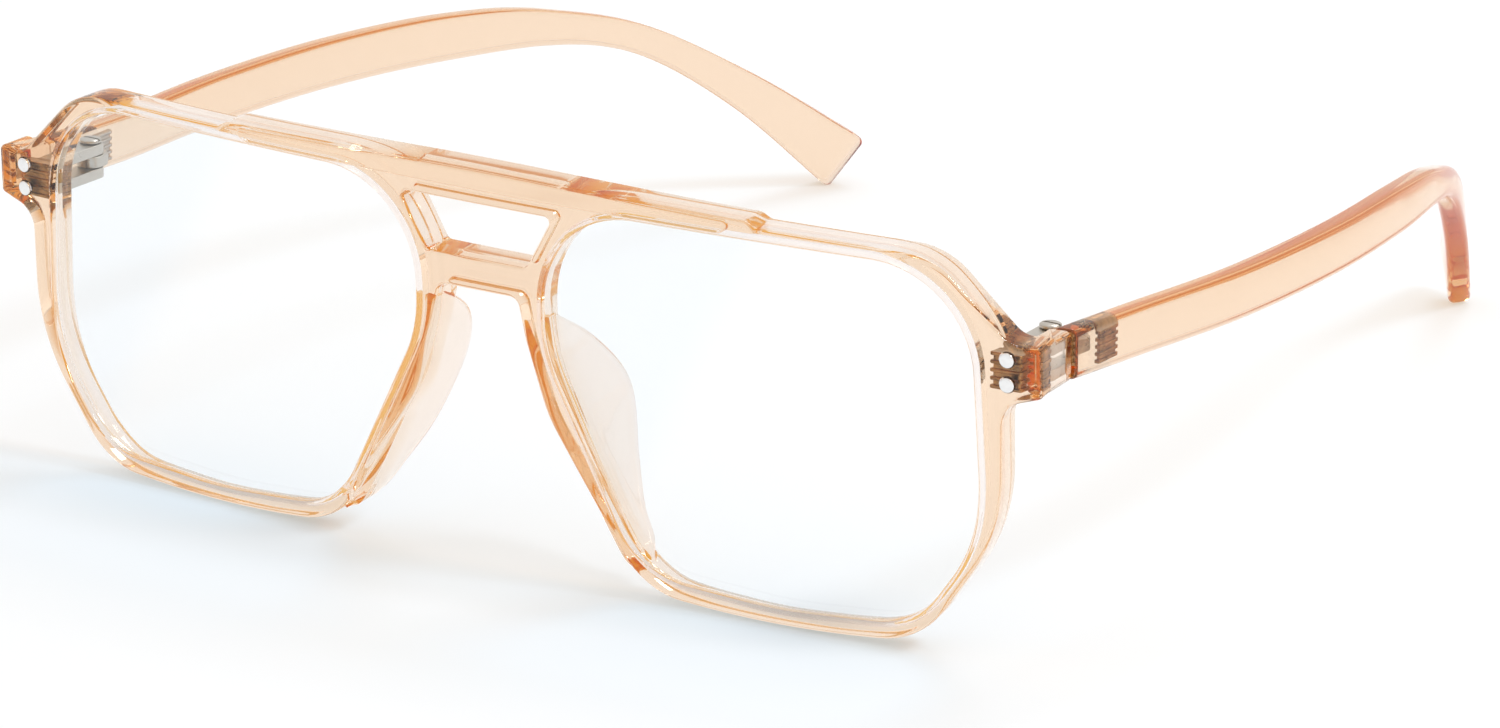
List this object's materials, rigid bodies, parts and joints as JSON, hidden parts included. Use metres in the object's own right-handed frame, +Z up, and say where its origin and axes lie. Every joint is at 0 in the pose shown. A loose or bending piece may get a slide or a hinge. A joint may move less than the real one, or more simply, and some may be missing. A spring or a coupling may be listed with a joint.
{
  "type": "blue light glasses",
  "caption": "Navigator glasses in clear tinted plastic with a raised brow bar, a bridge window, clear lenses, moulded nose pads and folding temples on screwed metal hinges.",
  "frame": {"origin": "on the table the glasses stand on, on their plane of symmetry, midway between the front's foremost point and the temple tips", "axes": "+Z up, the front faces -Y, the open temples run towards +Y, +X is the wearer's left"},
  "size_m": [0.143, 0.1594, 0.0476],
  "materials": {
    "frame_plastic": "polished, see-through champagne peach, deeper amber where the light crosses more of it",
    "lens_clear": "clear with a faint blue filter coating",
    "rivet_metal": "polished silver",
    "hinge_metal": "satin nickel"
  },
  "bodies": {
    "front": {"front_frame": "frame_plastic", "lens_left": "lens_clear", "lens_right": "lens_clear", "rivet_upper_left": "rivet_metal", "rivet_lower_left": "rivet_metal", "rivet_upper_right": "rivet_metal", "rivet_lower_right": "rivet_metal", "hinge_front_leaf_left": "hinge_metal", "hinge_front_leaf_right": "hinge_metal", "hinge_screw_left": "hinge_metal", "hinge_screw_right": "hinge_metal"},
    "temple_left": {"temple_left": "frame_plastic", "hinge_temple_leaf_left": "hinge_metal"},
    "temple_right": {"temple_right": "frame_plastic", "hinge_temple_leaf_right": "hinge_metal"}
  },
  "joints": [
    {"name": "hinge_left", "type": "hinge", "parent": "front", "child": "temple_left", "pos_m": [0.0642, -0.0622, 0.0339], "axis": [0, 0, 1], "range_deg": [0, 85]},
    {"name": "hinge_right", "type": "hinge", "parent": "front", "child": "temple_right", "pos_m": [-0.0642, -0.0622, 0.0339], "axis": [0, 0, -1], "range_deg": [0, 78]}
  ]
}
